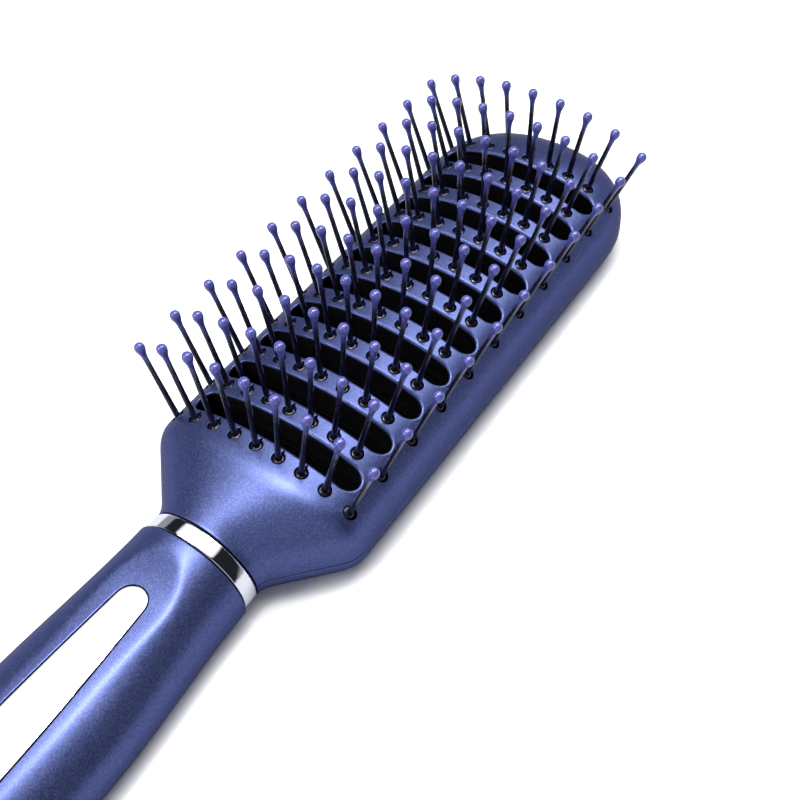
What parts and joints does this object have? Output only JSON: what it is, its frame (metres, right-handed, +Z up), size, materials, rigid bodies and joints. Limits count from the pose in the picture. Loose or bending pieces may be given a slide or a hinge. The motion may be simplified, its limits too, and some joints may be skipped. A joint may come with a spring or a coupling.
{
  "type": "vent hair brush",
  "caption": "Vent hair brush with a domed slotted head, rows of ball-tipped pins on strips, a chromed neck ring and a hollow handle with a mirror inlay",
  "frame": {"origin": "centre of the bounding box in plan, at the height of the flat back that the brush rests on", "axes": "+X from the butt of the handle to the tip of the head, +Y across the brush, +Z up along the pins"},
  "size_m": [0.2475, 0.0564, 0.0388],
  "materials": {
    "violet_satin": "satin metallic violet-blue lacquer with a fine flake on moulded plastic",
    "black_nylon": "glossy black moulded nylon",
    "violet_lacquer": "glossy violet dipped ball tips of the pins",
    "mirror_chrome": "bright mirror plating on moulded plastic"
  },
  "bodies": {
    "root": {"head_front_shell": "violet_satin", "head_back_shell": "violet_satin", "pin_row_01": "black_nylon", "pin_row_02": "black_nylon", "pin_row_03": "black_nylon", "pin_row_04": "black_nylon", "pin_row_05": "black_nylon", "pin_row_06": "black_nylon", "pin_row_07": "black_nylon", "pin_row_08": "black_nylon", "pin_row_09": "black_nylon", "pin_row_10": "black_nylon", "pin_row_11": "black_nylon", "neck_ring": "mirror_chrome", "handle_shell": "violet_satin", "handle_inlay": "mirror_chrome"}
  },
  "joints": []
}
